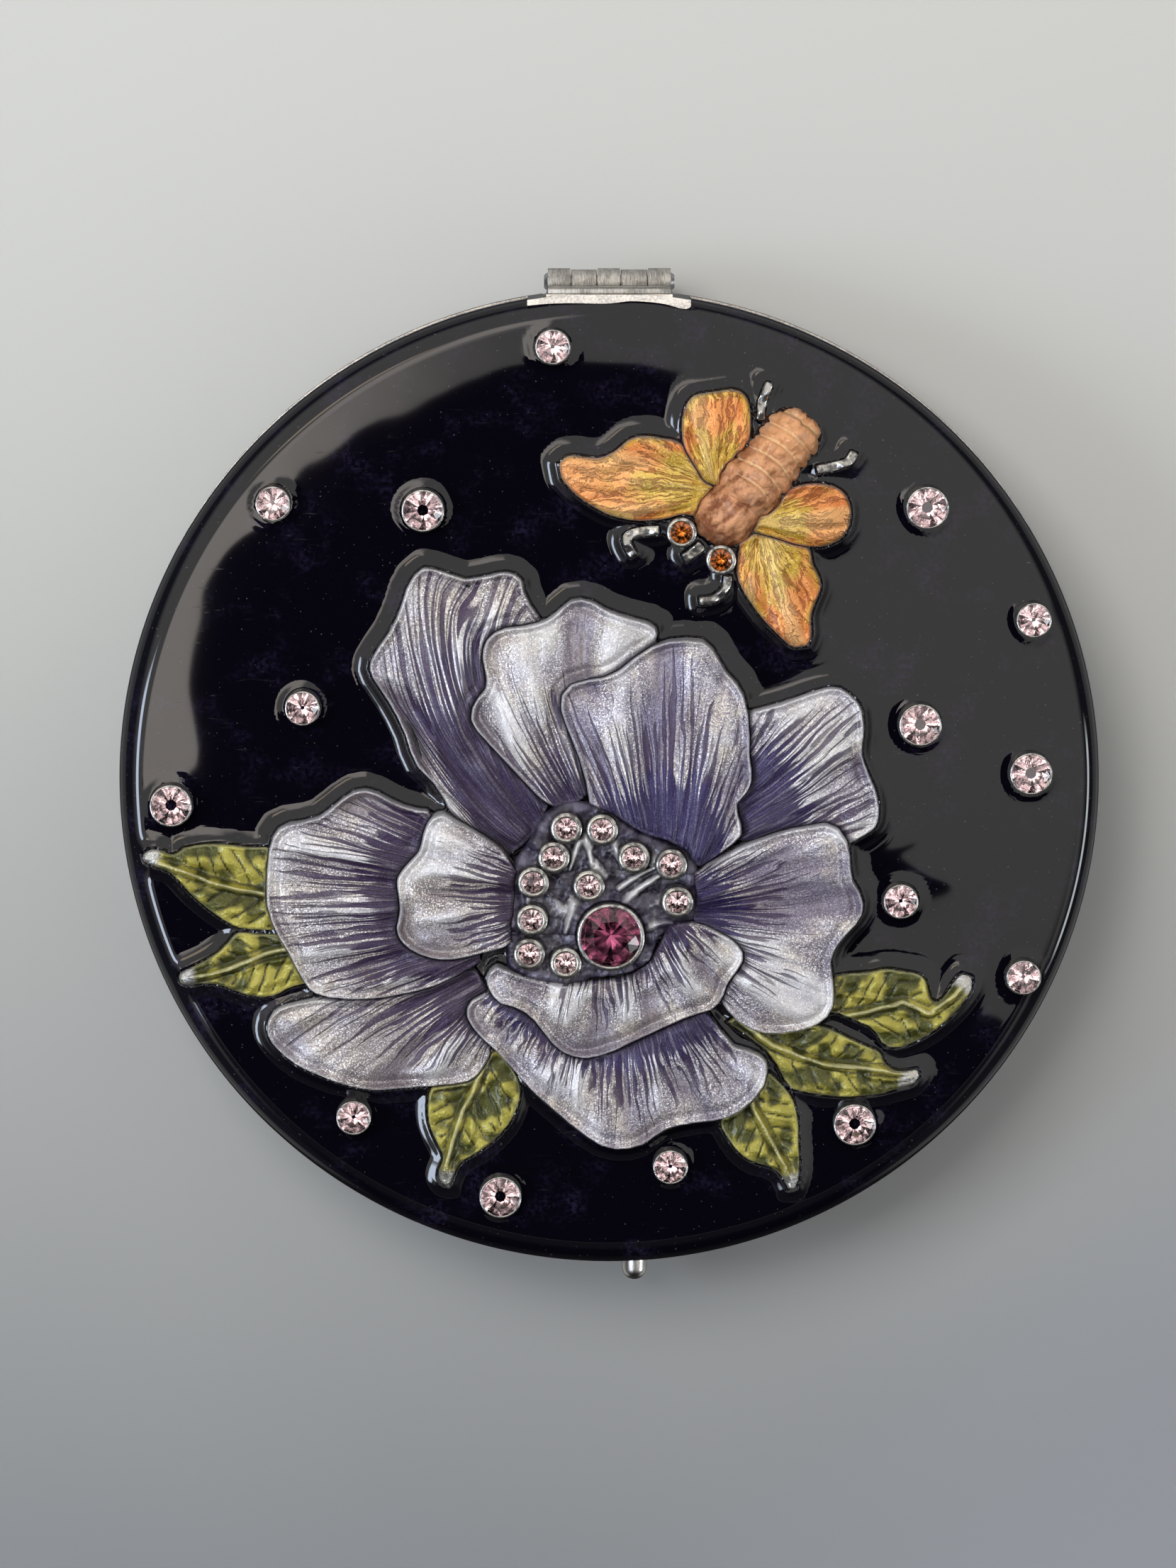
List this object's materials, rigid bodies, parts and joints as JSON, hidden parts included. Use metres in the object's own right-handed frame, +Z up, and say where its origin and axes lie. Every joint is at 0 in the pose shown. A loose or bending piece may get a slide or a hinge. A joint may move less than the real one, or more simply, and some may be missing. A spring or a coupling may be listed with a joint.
{
  "type": "compact mirror",
  "caption": "Round hinged compact with a mirror in each half, a push-button catch, and an enamelled lid with a flower and a moth in relief set with stones.",
  "frame": {"origin": "middle of the flat underside of the base, on the surface it rests on", "axes": "+Z up through the closed lid, +Y towards the hinge, -Y towards the push button"},
  "size_m": [0.07, 0.0737, 0.013],
  "materials": {
    "case_metal": "antique silver plate over cast zinc alloy",
    "mirror_glass": "silvered glass",
    "pad_foam": "thin adhesive foam",
    "ring_metal": "bright plate",
    "hinge_metal": "antique silver plate, worn",
    "spring_steel": "stamped steel",
    "dark_enamel": "thick glossy enamel, near black",
    "dark_relief": "dark violet enamel over cast metal",
    "setting_metal": "bright plated settings",
    "violet_stone": "cut crystal",
    "pink_stone": "cut crystal",
    "amber_stone": "cut crystal",
    "petal_enamel": "pearly lilac-grey enamel with violet roots",
    "leaf_enamel": "pearly olive enamel",
    "wing_enamel": "pearly orange enamel",
    "moth_body_enamel": "brown enamel over furry casting"
  },
  "bodies": {
    "base": {"base_shell": "case_metal", "base_mirror": "mirror_glass", "base_mirror_pad": "pad_foam", "base_mirror_ring": "ring_metal", "base_hinge_leaf": "hinge_metal", "hinge_pin": "spring_steel", "catch_guide": "spring_steel", "catch_spring": "spring_steel"},
    "catch": {"push_button": "ring_metal", "catch_plate": "spring_steel"},
    "lid": {"lid_shell": "case_metal", "lid_enamel": "dark_enamel", "lid_mirror": "mirror_glass", "lid_mirror_pad": "pad_foam", "lid_mirror_ring": "ring_metal", "lid_hinge_leaf": "hinge_metal", "lid_hook": "spring_steel", "flower_middle": "dark_relief", "centre_bezel": "setting_metal", "centre_stone": "violet_stone", "flower_bezels": "setting_metal", "flower_stones": "pink_stone", "petal_back_right": "petal_enamel", "petal_front_inner": "petal_enamel", "petal_left_inner": "petal_enamel", "petal_right_front": "petal_enamel", "petal_back_middle": "petal_enamel", "petal_left_outer": "petal_enamel", "petal_front_outer": "petal_enamel", "petal_right_back": "petal_enamel", "petal_back_left": "petal_enamel", "petal_front_left": "petal_enamel", "leaf_right_upper": "leaf_enamel", "leaf_right_lower": "leaf_enamel", "leaf_front_right": "leaf_enamel", "leaf_front_left": "leaf_enamel", "leaf_left_upper": "leaf_enamel", "leaf_left_lower": "leaf_enamel", "moth_body": "moth_body_enamel", "left_forewing": "wing_enamel", "left_hindwing": "wing_enamel", "right_forewing": "wing_enamel", "right_hindwing": "wing_enamel", "moth_feelers": "setting_metal", "moth_eye_bezels": "setting_metal", "moth_eye_stones": "amber_stone", "scatter_bezels": "setting_metal", "scatter_stones": "pink_stone"}
  },
  "joints": [
    {"name": "lid_hinge", "type": "hinge", "parent": "base", "child": "lid", "pos_m": [0, 0.0355, 0.0053], "axis": [-1, 0, 0], "range_deg": [0, 120]},
    {"name": "button_press", "type": "slide", "parent": "base", "child": "catch", "axis": [0, 1, 0], "range_m": [0, 0.0008], "stiffness_N_per_m": 800, "deforming": ["catch_spring"]}
  ]
}
